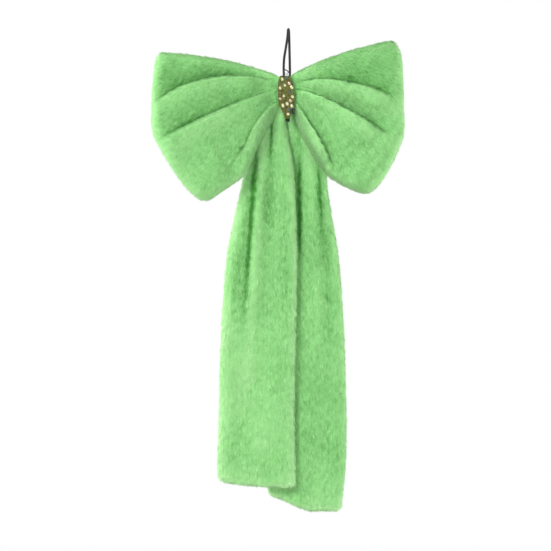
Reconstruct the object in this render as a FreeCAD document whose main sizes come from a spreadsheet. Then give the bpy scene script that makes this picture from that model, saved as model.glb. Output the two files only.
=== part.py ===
"""Plush gift bow: two padded loops, two hanging tails, a jewelled band and a hanging cord.

The frame is the bow as it hangs. +Z is up, the front faces -Y and +X is the viewer's right.
The origin is the inside of the cord's top fold, where a hook holds it. Sizes are millimetres.
"""
import FreeCAD, Part
import Sketcher
import math
import os

Vector = FreeCAD.Vector

SIZES = {
    # hanging cord, a hairpin with its fold at the origin
    "cord_diameter": 2.5,
    "cord_drop": 50.0,
    "cord_gap": 6.0,
    "cord_shift": -1.5,
    "cord_knot_radius": 2.2,
    "cord_knot_length": 11.0,
    "cord_fold_gap": 5.3,
    "cord_foot_run": 14.8,
    # pinch: middle of the loop tube, and the folded middle of the tail strip behind it
    "knot_clearance": 1.0,
    "waist_half_width": 6.5,
    "waist_front": 10.0,
    "waist_height": 24.8,
    "fold_half_width": 9.0,
    "fold_step": 2.8,
    "fit_gap": 0.3,
    # binding wire
    "wire_diameter": 0.8,
    "wire_pitch": 0.75,
    "wire_turns": 3,
    "wire_play": 0.1,
    "wire_top_play": 0.2,
    "fine_wire_diameter": 0.7,
    # loops, whose heights are rises over the cord's knot and drops under it
    "loop_hinge_offset": 13.0,
    "loop_hinge_depth": 5.5,
    "loop_end_radius": 4.5,
    "loop_front": 28.0,
    "loop_back": 2.0,
    "loop_full_depth_at": 62.0,
    "loop_corner_radius": 8.0,
    "panel_thickness": 4.5,
    "seam_margin": 10.0,
    "loop_shoulder_at": 50.0,
    "loop_top_corner_in": 6.0,
    "loop_side_length": 50.0,
    "loop_side_in": 5.0,
    "loop_throat_rise": 9.0,
    "loop_throat_drop": 30.0,
    "left_reach": 137.5,
    "left_shoulder_rise": 19.0,
    "left_top_rise": 27.0,
    "left_side_drop": 58.0,
    "left_tip_out": 87.5,
    "left_tip_drop": 123.0,
    "left_heel_out": 43.5,
    "left_heel_drop": 92.5,
    "right_reach": 116.5,
    "right_shoulder_rise": 26.0,
    "right_top_rise": 39.0,
    "right_side_drop": 62.0,
    "right_tip_out": 80.5,
    "right_tip_drop": 115.5,
    "right_heel_out": 39.5,
    "right_heel_drop": 95.0,
    # tails, with drops under the cord's knot and shares of the neck's radius and of a tail's width
    "tail_hinge_offset": 6.0,
    "tail_neck_radius": 8.0,
    "tail_start": 2.5,
    "tail_layer": 4.5,
    "tail_gap": 1.5,
    "tail_neck_share": 0.3,
    "tail_shoulder_share": 0.4,
    "tail_waist_share": 0.68,
    "tail_inner_share": 0.8,
    "tail_spread_share": 0.86,
    "tail_shoulder_drop": 62.0,
    "tail_waist_drop": 108.0,
    "tail_spread_drop": 172.0,
    "tail_full_drop": 290.0,
    "left_tail_drop": 407.0,
    "left_tail_out": 71.5,
    "left_tail_in": 9.0,
    "right_tail_drop": 432.0,
    "right_tail_out": 58.5,
    "right_tail_in": 23.0,
    # jewelled band
    "band_rise": 4.0,
    "band_length": 43.5,
    "band_half_width": 8.3,
    "band_shift": -2.4,
    "band_lean": 2.6,
    "band_pivot_share": 0.45,
    "band_thickness": 3.5,
    "backing_thickness": 2.5,
    "backing_share": 0.8,
    "cup_radius": 1.9,
    "cup_height": 1.0,
    "stone_radius": 1.6,
    "stone_height": 1.3,
    "stone_table_share": 0.45,
    "seed_radius": 0.9,
    "clear_bead_radius": 1.4,
    "clear_bead_rise": 1.8,
    "wire_arc_radius": 3.2,
    "wire_arc_at": 0.5,
    "wire_curl_radius": 2.4,
    "wire_curl_at": 6.9,
    "wire_curl_rise": 7.7,
    "wire_knot_radius": 2.0,
    "wire_knot_gap": 0.1,
    # felt patch on the back
    "patch_half_width": 9.0,
    "patch_height": 34.0,
    "patch_thickness": 2.0,
}

# the band's leaf shape: share of its length from the top, share of its greatest half width
BAND_LEAF = [(0.0, 0.56), (0.09, 0.75), (0.3, 1.0), (0.48, 1.0), (0.67, 0.9), (0.83, 0.55), (1.0, 0.23)]
# stones set by hand: share of the band's length from its top, share of its half width to the right
STONES = {
    "cream": [(0.09, -0.35), (0.23, -0.06), (0.27, 0.72), (0.29, -0.66), (0.47, -0.29), (0.49, 0.75),
              (0.65, 0.06), (0.69, -0.46), (0.70, 0.60), (0.885, 0.11)],
    "rose": [(0.185, 0.46), (0.535, -0.72), (0.58, 0.48)],
    "blue": [(0.055, 0.22), (0.385, 0.43), (0.78, 0.25)],
}
# seed beads that fill the larger gaps between the stones, placed in the same way
SEEDS = [(0.14, 0.22), (0.295, 0.31), (0.355, -0.19), (0.52, 0.15), (0.59, -0.35), (0.41, -0.71),
         (0.375, 0.87), (0.765, -0.09)]

doc = FreeCAD.newDocument("PlushBow")
sheet = doc.addObject("Spreadsheet::Sheet", "Sizes")
nodes = []


def fill_sheet():
    """Write every driving dimension to the sheet, each under its own alias."""
    for row, (alias, value) in enumerate(SIZES.items(), start=1):
        sheet.set(f"A{row}", alias)
        sheet.set(f"B{row}", str(value))
        sheet.setAlias(f"B{row}", alias)
    doc.recompute()


def size(expression):
    """The value of a sheet expression, as a plain number."""
    value = sheet.evalExpression(expression)
    return float(value.Value) if hasattr(value, "Value") else float(value)


def below(drop):
    """The height that lies a drop under the cord's knot, which carries the rest of the bow."""
    return f"(-Sizes.cord_drop - ({drop}))"


def node(feature, label):
    """Name a finished sub-part, which is written to parts/LABEL.step."""
    feature.Label = label
    nodes.append(feature)
    return feature


def polygon_sketch(body, role, name, corners, start):
    """A closed polygon on one of the body's origin planes, moved along the plane's normal.

    Each corner is a pair of expressions, which pin it to the sheet.
    """
    plane = next(feature for feature in body.Origin.OriginFeatures if feature.Role == role)
    sketch = body.newObject("Sketcher::SketchObject", name)
    sketch.AttachmentSupport = [(plane, "")]
    sketch.MapMode = "FlatFace"
    sketch.setExpression("AttachmentOffset.Base.z", start)
    points = [Vector(size(across), size(up), 0) for across, up in corners]
    count = len(points)
    for index, point in enumerate(points):
        sketch.addGeometry(Part.LineSegment(point, points[(index + 1) % count]))
    for index, (across, up) in enumerate(corners):
        sketch.addConstraint(Sketcher.Constraint("Coincident", index, 2, (index + 1) % count, 1))
        for kind, value, expression in (("DistanceX", points[index].x, across),
                                        ("DistanceY", points[index].y, up)):
            number = sketch.addConstraint(Sketcher.Constraint(kind, -1, 1, index, 1, value))
            sketch.setExpression(f"Constraints[{number}]", expression)
    return sketch


def prism(name, role, corners, start, length, corner_radius=None):
    """A polygon padded along its plane's normal, with its corner edges rounded if asked."""
    body = doc.addObject("PartDesign::Body", name)
    sketch = polygon_sketch(body, role, name + "Outline", corners, start)
    pad = body.newObject("PartDesign::Pad", name + "Pad")
    pad.Profile = sketch
    pad.setExpression("Length", length)
    if corner_radius:
        doc.recompute()
        sketch_normal = sketch.Placement.Rotation.multVec(Vector(0, 0, 1))
        edges = []
        for number, edge in enumerate(pad.Shape.Edges, start=1):
            run = edge.Vertexes[-1].Point - edge.Vertexes[0].Point
            if abs(run.dot(sketch_normal)) > 0.99 * run.Length:
                edges.append(f"Edge{number}")
        rounded = body.newObject("PartDesign::Fillet", name + "Corners")
        rounded.Base = (pad, edges)
        rounded.setExpression("Radius", corner_radius)
    return body


def cut(name, base, tool):
    """What is left of the base without the tool."""
    feature = doc.addObject("Part::Cut", name)
    feature.Base = base
    feature.Tool = tool
    return feature


def common(name, first, second):
    """The space that two features share."""
    feature = doc.addObject("Part::MultiCommon", name)
    feature.Shapes = [first, second]
    return feature


def placed(feature, across, depth, up, axis=None, angle=0.0):
    """Bind a Part primitive's position to the sheet, turned about an axis if one is given."""
    if axis:
        feature.Placement = FreeCAD.Placement(Vector(), FreeCAD.Rotation(axis, angle))
    for letter, expression in (("x", across), ("y", depth), ("z", up)):
        feature.setExpression("Placement.Base." + letter, expression)
    return feature


def block(name, low, high):
    """A box between two corners, each three expressions."""
    box = doc.addObject("Part::Box", name)
    for length, first, last in zip(("Length", "Width", "Height"), low, high):
        box.setExpression(length, f"({last}) - ({first})")
    return placed(box, *low)


def round_end(centre_across, centre_up, radius, towards):
    """Corners of a half octagon inside a circle, whose round side faces `towards`.

    It may turn about the circle's centre without leaving the circle.
    """
    corners = []
    for degrees in (-90, -45, 0, 45, 90):
        angle = math.radians(degrees + towards)
        corners.append((f"{centre_across} + ({math.cos(angle):.6f}) * {radius}",
                        f"{centre_up} + ({math.sin(angle):.6f}) * {radius}"))
    return corners


# ---------------------------------------------------------------- hanging cord

def cord_route():
    """The hairpin's corners: up the left leg, over the narrow fold, which is turned edge-on to the front,
    and down the right leg. The legs' feet stand on the knot, and the fold's height follows the cord."""
    top = size("Sizes.cord_diameter") / 2
    middle = size("Sizes.cord_shift")
    half_gap = size("Sizes.cord_gap") / 2
    half_fold = size("Sizes.cord_fold_gap") / 2
    foot = size("-Sizes.cord_drop + Sizes.cord_knot_radius")
    bow = foot + size("Sizes.cord_foot_run")
    return [
        Vector(middle - half_gap, 0, foot),
        Vector(middle - half_gap - 0.9, 0, bow),
        Vector(-2.3, -1.6, -15.5),
        Vector(-0.9, -half_fold - 0.1, -6.0),
        Vector(-0.4, -half_fold, top),
        Vector(0.4, half_fold, top),
        Vector(0.7, half_fold + 0.1, -6.5),
        Vector(0.9, 1.4, -16.0),
        Vector(1.3, 0, bow),
        Vector(middle + half_gap, 0, foot),
    ]


def filleted_wire(points):
    """Straight runs joined by tangent arcs, each as large as its two runs allow."""
    edges = []
    last = points[0]
    for before, corner, after in zip(points, points[1:], points[2:]):
        arriving = (corner - before).normalize()
        leaving = (after - corner).normalize()
        half_turn = arriving.getAngle(leaving) / 2
        reach = 0.45 * min((corner - before).Length, (after - corner).Length)
        print(f"cord bend radius {reach / math.tan(half_turn):.1f} mm")
        enter = corner - arriving * reach
        leave = corner + leaving * reach
        inwards = (leaving - arriving).normalize()
        depth = reach / math.tan(half_turn) * (1 / math.cos(half_turn) - 1)
        edges.append(Part.LineSegment(last, enter).toShape())
        edges.append(Part.Arc(enter, corner + inwards * depth, leave).toShape())
        last = leave
    edges.append(Part.LineSegment(last, points[-1]).toShape())
    return Part.Wire(edges)


def make_cord():
    """The cord's tube, and the knot that joins its ends under the binding."""
    radius = size("Sizes.cord_diameter") / 2
    route = cord_route()
    wire = filleted_wire(route)
    section = Part.Wire([Part.makeCircle(radius, route[0], (route[1] - route[0]).normalize())])
    tube = wire.makePipeShell([section], True, False)
    expected = math.pi * radius ** 2 * wire.Length
    print(f"cord length {wire.Length:.1f} mm, volume {tube.Volume:.1f} of {expected:.1f}")
    if abs(tube.Volume - expected) > 0.02 * expected:
        raise ValueError("the cord's tube lost volume")
    cord = doc.addObject("Part::Feature", "Cord")
    cord.Shape = tube
    node(cord, "hanging_cord")
    knot = doc.addObject("Part::Cylinder", "CordKnot")
    knot.setExpression("Radius", "Sizes.cord_knot_radius")
    knot.setExpression("Height", "Sizes.cord_knot_length")
    placed(knot, "Sizes.cord_shift - Sizes.cord_knot_length / 2", "0", "-Sizes.cord_drop",
           Vector(0, 1, 0), 90)
    node(knot, "cord_knot")


# ---------------------------------------------------------------- pinch and binding

WAIST_TOP = below("Sizes.cord_knot_radius + Sizes.knot_clearance")
WAIST_FOOT = "(" + WAIST_TOP + " - Sizes.waist_height)"
FOLD_BACK = "(Sizes.tail_start + 4 * Sizes.tail_layer + Sizes.tail_gap)"


def make_pinch():
    """The loop tube's pinched middle, the tail strip's fold, and the felt patch behind them."""
    node(block("Waist", ("-Sizes.waist_half_width", "-Sizes.waist_front", WAIST_FOOT),
               ("Sizes.waist_half_width", "0", WAIST_TOP)), "waist_gather")
    node(block("Fold", ("-Sizes.fold_half_width", "Sizes.fit_gap", WAIST_FOOT),
               ("Sizes.fold_half_width", FOLD_BACK, WAIST_TOP + " - Sizes.fold_step")),
         "tail_fold")
    patch_front = "(" + FOLD_BACK + " + Sizes.wire_diameter + 2 * Sizes.fit_gap)"
    middle = "((" + WAIST_TOP + " + " + WAIST_FOOT + ") / 2)"
    node(block("Patch", ("-Sizes.patch_half_width", patch_front, middle + " - Sizes.patch_height / 2"),
               ("Sizes.patch_half_width", patch_front + " + Sizes.patch_thickness",
                middle + " + Sizes.patch_height / 2")), "back_patch")


def make_binding():
    """Closed turns of wire round the pinch and the fold, between the cord's two legs."""
    radius = size("Sizes.wire_diameter") / 2
    reach = radius + size("Sizes.wire_play")
    front = size("-Sizes.waist_front") - reach
    back = size(FOLD_BACK) + reach
    top = size(below("-Sizes.cord_knot_radius - Sizes.fit_gap - Sizes.wire_top_play")) + radius
    foot = size(WAIST_FOOT) - reach
    turns = []
    count = int(size("Sizes.wire_turns"))
    for number in range(count):
        across = size("Sizes.cord_shift") + (number - (count - 1) / 2) * size("Sizes.wire_pitch")
        corners = [Vector(across, front, foot), Vector(across, front, top),
                   Vector(across, back, top), Vector(across, back, foot)]
        path = Part.makePolygon(corners + corners[:1])
        section = Part.Wire([Part.makeCircle(radius, Vector(across, front, (top + foot) / 2),
                                             Vector(0, 0, 1))])
        turns.append(path.makePipeShell([section], True, False, 1))
    binding = doc.addObject("Part::Feature", "Binding")
    binding.Shape = Part.makeCompound(turns)
    node(binding, "binding_wire")


# ---------------------------------------------------------------- loops

HINGE_DEPTH = "-Sizes.loop_hinge_depth"
THROAT = "(Sizes.loop_hinge_offset - Sizes.loop_end_radius)"


def loop_outline(side):
    """Corners of a loop seen from the front, from its throat out, round the tip and back.

    The last two numbers say how a corner moves in from the seam, in seam margins.
    """
    reach = f"Sizes.{side}_reach"
    return [
        (THROAT, below("-Sizes.loop_throat_rise"), 2, -0.6),
        ("Sizes.loop_shoulder_at", below(f"-Sizes.{side}_shoulder_rise"), 0, -1),
        (f"{reach} - Sizes.loop_top_corner_in", below(f"-Sizes.{side}_top_rise"), -1, -1),
        (reach, below(f"Sizes.loop_side_length - Sizes.{side}_top_rise"), -1, 0),
        (f"{reach} - Sizes.loop_side_in", below(f"Sizes.{side}_side_drop"), -1, 0),
        (f"Sizes.{side}_tip_out", below(f"Sizes.{side}_tip_drop"), -0.1, 1.5),
        (f"Sizes.{side}_heel_out", below(f"Sizes.{side}_heel_drop"), 0.3, 1.1),
        (THROAT, below("Sizes.loop_throat_drop"), 2, 0.6),
    ]


def make_loop(side, sign):
    """A front and a back panel of plush, sewn round their rim, with wadding between them.

    Seen from above, each panel starts at a round end that turns beside the pinch.
    """
    title = side.capitalize()
    mirror = f"({sign}) * "
    far = f"(Sizes.{side}_reach + Sizes.seam_margin)"
    full = "Sizes.loop_full_depth_at"
    wadding_front = "-Sizes.loop_front + Sizes.panel_thickness"
    wadding_back = "Sizes.loop_back - Sizes.panel_thickness"
    end = round_end("Sizes.loop_hinge_offset", HINGE_DEPTH, "Sizes.loop_end_radius", 180)
    plans = {
        "Front": end[2:] + [(full, "-Sizes.loop_front"), (far, "-Sizes.loop_front"), (far, HINGE_DEPTH)],
        "Back": end[:3] + [(far, HINGE_DEPTH), (far, "Sizes.loop_back"), (full, "Sizes.loop_back")],
        "Wadding": [("Sizes.loop_hinge_offset + 1.5 * Sizes.seam_margin", HINGE_DEPTH),
                    (full, wadding_front), (far, wadding_front),
                    (far, wadding_back), (full, wadding_back)],
    }
    outline = loop_outline(side)
    rim = [(f"{mirror}({across})", up) for across, up, step_across, step_up in outline]
    inner_rim = [(f"{mirror}({across} + ({step_across}) * Sizes.seam_margin)",
                  f"{up} + ({step_up}) * Sizes.seam_margin")
                 for across, up, step_across, step_up in outline]
    depth_start = "-Sizes.loop_back"
    depth = "Sizes.loop_front + Sizes.loop_back"
    drop = f"Sizes.cord_drop + Sizes.{side}_tip_drop + Sizes.seam_margin"
    profiles = {
        part: prism(f"{title}{part}Plan", "XY_Plane",
                    [(f"{mirror}({across})", up) for across, up in corners], f"-({drop})", drop)
        for part, corners in plans.items()
    }

    def loop_prism(part, corners, corner_radius=None):
        return prism(f"{title}{part}Rim", "XZ_Plane", corners, depth_start, depth, corner_radius)

    wadding = common(f"{title}Wadding", loop_prism("Wadding", inner_rim), profiles["Wadding"])
    node(wadding, f"{side}_loop_wadding")
    for part in ("Front", "Back"):
        blank = common(f"{title}{part}Blank", loop_prism(part, rim, "Sizes.loop_corner_radius"),
                       profiles[part])
        node(cut(f"{title}{part}Panel", blank, wadding), f"{side}_loop_{part.lower()}")


# ---------------------------------------------------------------- tails

TAIL_HINGE_DROP = "(" + WAIST_FOOT + " - Sizes.wire_diameter - Sizes.tail_neck_radius - 2 * Sizes.fit_gap)"


def make_tail(side, sign, start):
    """Two layers of plush that hang from a gathered neck, whose round top turns at the pinch."""
    hinge = "Sizes.tail_hinge_offset"
    neck = "Sizes.tail_neck_radius"
    foot = below(f"Sizes.{side}_tail_drop")
    shoulder, waist, spread, full = (below(f"Sizes.tail_{part}_drop")
                                     for part in ("shoulder", "waist", "spread", "full"))
    out = f"Sizes.{side}_tail_out"
    inside = f"-Sizes.{side}_tail_in"
    corners = round_end(hinge, TAIL_HINGE_DROP, neck, 90) + [
        (f"-Sizes.tail_neck_share * {neck}", shoulder),
        (f"Sizes.tail_inner_share * ({inside})", waist),
        (inside, full),
        (inside, foot),
        (out, foot),
        (out, full),
        (f"Sizes.tail_spread_share * {out}", spread),
        (f"Sizes.tail_waist_share * {out}", waist),
        (f"Sizes.tail_shoulder_share * {out}", shoulder),
    ]
    mirrored = [(f"({sign}) * ({across})", up) for across, up in corners]
    for number, layer in enumerate(("front", "back")):
        depth_start = f"-({start} + ({number} + 1) * Sizes.tail_layer)"
        name = f"{side.capitalize()}Tail{layer.capitalize()}"
        body = prism(name, "XZ_Plane", mirrored, depth_start, "Sizes.tail_layer")
        node(body, f"{side}_tail_{layer}")


# ---------------------------------------------------------------- jewelled band

BAND_BACK = "(-Sizes.waist_front - Sizes.wire_diameter - Sizes.fit_gap)"
BASE_BACK = "(" + BAND_BACK + " - Sizes.backing_thickness)"
BASE_FRONT = "(" + BASE_BACK + " - Sizes.band_thickness)"
BAND_TOP = below("-Sizes.band_rise")
BAND_FOOT = "(" + BAND_TOP + " - Sizes.band_length)"


def band_middle(share):
    """The band's middle line, which leans to the right as it goes down by a share of its length."""
    return f"(Sizes.band_shift + ({share} - Sizes.band_pivot_share) * Sizes.band_lean)"


def leaf_corners(scale):
    """A leaf shape: narrow at its top and foot, and widest at its middle."""
    right, left = ([(f"{band_middle(share)} {side} {scale} * {width} * Sizes.band_half_width",
                     f"{BAND_TOP} - {share} * Sizes.band_length") for share, width in BAND_LEAF]
                   for side in "+-")
    return right + left[::-1]


def make_band():
    """The leaf-shaped bead base on its felt backing."""
    node(prism("Backing", "XZ_Plane", leaf_corners("Sizes.backing_share"), f"-{BAND_BACK}",
               "Sizes.backing_thickness"), "band_backing")
    node(prism("Base", "XZ_Plane", leaf_corners("1"), f"-{BASE_BACK}", "Sizes.band_thickness"),
         "band_base")


def make_stones():
    """Cups on the base, a faceted stone in each cup, and seed beads between them."""
    front = size(BASE_FRONT)
    forwards = Vector(0, -1, 0)
    cup_radius = size("Sizes.cup_radius")
    cup_height = size("Sizes.cup_height")
    stone_radius = size("Sizes.stone_radius")
    stone_height = size("Sizes.stone_height")
    table_share = size("Sizes.stone_table_share")
    seed_radius = size("Sizes.seed_radius")

    def seat(down, out):
        """A point on the base's front, from a share of its length and a share of its half width."""
        return Vector(size(f"{band_middle(down)} + ({out}) * Sizes.band_half_width"), front,
                      size(f"{BAND_TOP} - {down} * Sizes.band_length"))

    cups, stones = [], {}
    for colour, places in STONES.items():
        seats = [seat(down, out) for down, out in places]
        cups += [Part.makeCylinder(cup_radius, cup_height, point, forwards) for point in seats]
        stones[colour] = [Part.makeCone(stone_radius, stone_radius * table_share, stone_height,
                                        point + forwards * cup_height, forwards) for point in seats]
    seeds = [Part.makeSphere(seed_radius, seat(down, out) + forwards * seed_radius)
             for down, out in SEEDS]
    groups = {"stone_cups": cups, "seed_beads": seeds}
    groups.update({"stones_" + colour: solids for colour, solids in stones.items()})
    for label, solids in groups.items():
        group = doc.addObject("Part::Feature", label.title().replace("_", ""))
        group.Shape = Part.makeCompound(solids)
        node(group, label)


def wire_bow(name, label, radius, across, depth, up, angle, turned):
    """A bent piece of fine wire, part of a circle that faces the front."""
    bow = doc.addObject("Part::Torus", name)
    bow.setExpression("Radius1", radius)
    bow.setExpression("Radius2", "Sizes.fine_wire_diameter / 2")
    bow.Angle3 = angle
    lying = FreeCAD.Rotation(Vector(1, 0, 0), 90).multiply(FreeCAD.Rotation(Vector(0, 0, 1), turned))
    bow.Placement = FreeCAD.Placement(Vector(), lying)
    for letter, expression in (("x", across), ("y", depth), ("z", up)):
        bow.setExpression("Placement.Base." + letter, expression)
    node(bow, label)


def bead(name, label, radius, across, depth, up):
    """A round bead."""
    ball = doc.addObject("Part::Sphere", name)
    ball.setExpression("Radius", radius)
    node(placed(ball, across, depth, up), label)


def make_trim():
    """The wire arc over the band with its clear bead, the wire's curl, and the knot at the foot."""
    middle_depth = f"({BASE_FRONT} + {BASE_BACK}) / 2"
    arc_across = "Sizes.band_shift + Sizes.wire_arc_at"
    wire_bow("WireArc", "wire_arc", "Sizes.wire_arc_radius", arc_across, middle_depth,
             BAND_TOP + " + Sizes.fine_wire_diameter / 2", 180, 0)
    bead("ClearBead", "clear_bead", "Sizes.clear_bead_radius", arc_across,
         middle_depth, BAND_TOP + " + Sizes.clear_bead_rise")
    wire_bow("WireCurl", "wire_curl", "Sizes.wire_curl_radius", "Sizes.band_shift + Sizes.wire_curl_at",
             f"{BASE_FRONT} - Sizes.fine_wire_diameter / 2 - Sizes.cup_height",
             BAND_FOOT + " + Sizes.wire_curl_rise", 290, 120)
    bead("WireKnot", "wire_knot", "Sizes.wire_knot_radius", band_middle("1"), middle_depth,
         f"{BAND_FOOT} - Sizes.wire_knot_radius - Sizes.wire_knot_gap")


def check_and_write():
    """Recompute the document, stop on any failed feature or bad shape, and write each sub-part."""
    doc.recompute()
    for feature in doc.Objects:
        if "Invalid" in feature.State or "Error" in feature.State:
            raise ValueError(f"{feature.Label} failed: {feature.State}")
    os.makedirs("parts", exist_ok=True)
    for feature in nodes:
        shape = feature.Shape
        if shape.isNull() or not shape.isValid() or not shape.Solids:
            raise ValueError(f"{feature.Label} has no valid solid")
        shape.exportStep(f"parts/{feature.Label}.step")
        box = shape.BoundBox
        print(f"{feature.Label:20s} solids {len(shape.Solids):3d} volume {shape.Volume:9.1f} "
              f"x {box.XMin:.1f}..{box.XMax:.1f} y {box.YMin:.1f}..{box.YMax:.1f} "
              f"z {box.ZMin:.1f}..{box.ZMax:.1f}")


fill_sheet()
make_cord()
make_pinch()
make_binding()
make_loop("left", -1)
make_loop("right", 1)
make_tail("left", -1, "Sizes.tail_start")
make_tail("right", 1, "Sizes.tail_start + 2 * Sizes.tail_layer + Sizes.tail_gap")
make_band()
make_stones()
make_trim()
check_and_write()
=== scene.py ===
"""Looks of a plush gift bow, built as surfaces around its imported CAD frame.

Lengths in the property groups are metres. Tables of outline points are millimetres, as (x, z) pairs
seen from the front, where x runs to the viewer's right and z up from the hook.
"""
import math

import bmesh
import bpy
import numpy as np
from bpy.props import FloatProperty, FloatVectorProperty, IntProperty, PointerProperty
from bpy.types import Operator, Panel, PropertyGroup
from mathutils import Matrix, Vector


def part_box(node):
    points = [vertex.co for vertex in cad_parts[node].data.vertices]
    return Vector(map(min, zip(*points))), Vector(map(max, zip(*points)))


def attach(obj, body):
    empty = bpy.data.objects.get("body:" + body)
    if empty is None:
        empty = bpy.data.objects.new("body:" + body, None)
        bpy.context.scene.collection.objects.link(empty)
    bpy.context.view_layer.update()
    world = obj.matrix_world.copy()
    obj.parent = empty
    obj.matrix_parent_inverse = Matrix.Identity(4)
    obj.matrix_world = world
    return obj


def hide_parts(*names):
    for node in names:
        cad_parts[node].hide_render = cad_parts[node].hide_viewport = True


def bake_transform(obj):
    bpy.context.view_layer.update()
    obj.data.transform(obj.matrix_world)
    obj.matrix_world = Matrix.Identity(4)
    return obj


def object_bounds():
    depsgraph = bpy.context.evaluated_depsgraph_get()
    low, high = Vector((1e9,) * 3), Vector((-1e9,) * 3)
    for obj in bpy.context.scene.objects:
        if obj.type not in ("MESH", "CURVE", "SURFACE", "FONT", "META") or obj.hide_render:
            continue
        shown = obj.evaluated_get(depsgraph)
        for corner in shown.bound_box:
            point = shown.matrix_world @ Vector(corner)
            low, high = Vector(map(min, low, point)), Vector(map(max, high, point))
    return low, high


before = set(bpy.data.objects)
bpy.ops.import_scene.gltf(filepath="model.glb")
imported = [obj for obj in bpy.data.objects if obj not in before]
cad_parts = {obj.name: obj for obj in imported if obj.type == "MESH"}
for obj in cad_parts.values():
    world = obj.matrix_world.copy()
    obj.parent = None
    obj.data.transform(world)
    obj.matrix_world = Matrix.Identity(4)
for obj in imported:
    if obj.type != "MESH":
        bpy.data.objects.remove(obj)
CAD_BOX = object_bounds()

bl_info = {
    "name": "Plush Gift Bow",
    "version": (1, 0, 0),
    "blender": (4, 5, 0),
    "location": "View3D > Sidebar > Plush Bow",
    "description": "Padded loops, hanging tails, a jewelled band and a cord round the bow's frame",
    "category": "Object",
}

MM = 0.001
PINCH_HEIGHT = -65.6        # of the loops' pinch, in mm
PLUSH_PATCH_SIZE = 55.0     # scale of the soft patches in the plush's colour

# Ribs of a loop, from its top edge down to its lower edge. Each has its place across the loop (0 at
# the top edge, 1 at the lower edge) and three control points: at the pinch, midway and at the outer
# edge.
LEFT_RIBS = [
    (0.00, (-4.5, -48.0), (-62.0, -26.5), (-131.0, -23.0)),
    (0.22, (-4.5, -52.5), (-82.5, -36.5), (-135.0, -73.0)),
    (0.45, (-4.5, -56.0), (-74.5, -83.0), (-131.0, -109.5)),
    (0.72, (-4.5, -62.0), (-42.5, -107.0), (-85.5, -168.3)),
    (0.87, (-4.5, -68.0), (-29.0, -80.0), (-64.0, -158.0)),
    (1.00, (-5.5, -73.0), (-32.0, -110.0), (-41.5, -142.0)),
]
RIGHT_RIBS = [
    (0.00, (1.5, -46.5), (45.0, -22.0), (111.0, -9.8)),
    (0.22, (1.5, -52.5), (60.5, -44.5), (113.3, -70.5)),
    (0.45, (1.5, -56.0), (58.0, -77.5), (111.5, -110.5)),
    (0.72, (1.5, -59.5), (40.5, -98.0), (79.0, -161.0)),
    (0.87, (2.5, -63.0), (21.0, -98.0), (57.0, -155.0)),
    (1.00, (3.5, -74.0), (15.5, -116.5), (41.0, -145.5)),
]
# Pleats of a loop: place across the loop, depth in mm, where along the loop the fold fades out.
LEFT_PLEATS = [(0.22, 8.0, 1.05), (0.45, 9.0, 1.03), (0.87, 7.0, 0.82)]
RIGHT_PLEATS = [(0.22, 4.8, 0.98), (0.45, 7.5, 0.95), (0.87, 7.5, 0.88)]

# Edges of a tail going down: height, left edge, right edge.
LEFT_TAIL_EDGES = [
    (-70, -8, 0), (-80, -13, -2), (-92, -23, -2), (-112, -34, 0.5), (-135, -41, 4.2),
    (-157, -46.5, 5.5), (-181, -52, 6.5), (-220, -60, 7.5), (-268, -64.5, 7.2), (-320, -67.3, 6),
    (-400, -69, 5.3), (-430, -70, 5.8), (-456, -70.3, 6.8),
]
RIGHT_TAIL_EDGES = [
    (-80, -4, 9), (-92, -5, 15), (-112, -7, 25), (-135, -10, 36), (-157, -12, 38.5),
    (-181, -14, 42), (-220, -17, 48.8), (-268, -19, 53), (-320, -21, 55.8), (-384, -22, 57.3),
    (-430, -22, 57), (-480.5, -21, 52.5),
]

# The band's leaf shape: share of its length from the top, share of its greatest half width.
BAND_LEAF = [(0.0, 0.56), (0.09, 0.75), (0.3, 1.0), (0.48, 1.0), (0.67, 0.9), (0.83, 0.55),
             (1.0, 0.23)]


# ---------------------------------------------------------------- numbers

def smooth(low, high, value):
    """0 below low, 1 above high, and a smooth cubic step between them."""
    share = np.clip((value - low) / (high - low), 0.0, 1.0)
    return share * share * (3.0 - 2.0 * share)


def hump(offset, width):
    """A round hump: 1 at no offset, about a third at a width from it."""
    return np.exp(-(offset / width) ** 2)


def spaced(count, ease):
    """Steps from 0 to 1 that crowd towards both ends, by the share that is spaced by a cosine."""
    share = np.linspace(0.0, 1.0, count)
    return (1.0 - ease) * share + ease * (0.5 - 0.5 * np.cos(math.pi * share))


def through(knots, values, at):
    """A smooth curve through values given at knots: cubic pieces whose slopes are the averages at
    each knot."""
    knots = np.asarray(knots, float)
    values = np.asarray(values, float)
    slopes = np.gradient(values, knots, axis=0)
    place = np.clip(np.searchsorted(knots, at) - 1, 0, len(knots) - 2)
    width = knots[place + 1] - knots[place]
    share = (at - knots[place]) / width
    if values.ndim > 1:
        share, width = share[..., None], width[..., None]
    two, three = share ** 2, share ** 3
    return ((2 * three - 3 * two + 1) * values[place]
            + (three - 2 * two + share) * width * slopes[place]
            + (3 * two - 2 * three) * values[place + 1]
            + (three - two) * width * slopes[place + 1])


def ripple(points, wavelength, seed, waves=14):
    """A soft random field from -1 to 1 or so: plane waves of about one wavelength, added in random
    directions."""
    rng = np.random.default_rng(seed)
    turns = rng.normal(size=(waves, 3))
    turns /= np.linalg.norm(turns, axis=1)[:, None]
    turns *= 2 * math.pi / wavelength * rng.uniform(0.7, 1.4, (waves, 1))
    phases = rng.uniform(0, 2 * math.pi, waves)
    return np.cos(points @ turns.T + phases).sum(axis=-1) / math.sqrt(waves / 2)


def unit(vectors):
    """Vectors scaled to length one."""
    return vectors / np.maximum(np.linalg.norm(vectors, axis=-1, keepdims=True), 1e-12)


# ---------------------------------------------------------------- meshes

def add_object(name, data):
    """A new object of the scene with the given data."""
    made = bpy.data.objects.new(name, data)
    bpy.context.scene.collection.objects.link(made)
    return made


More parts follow.
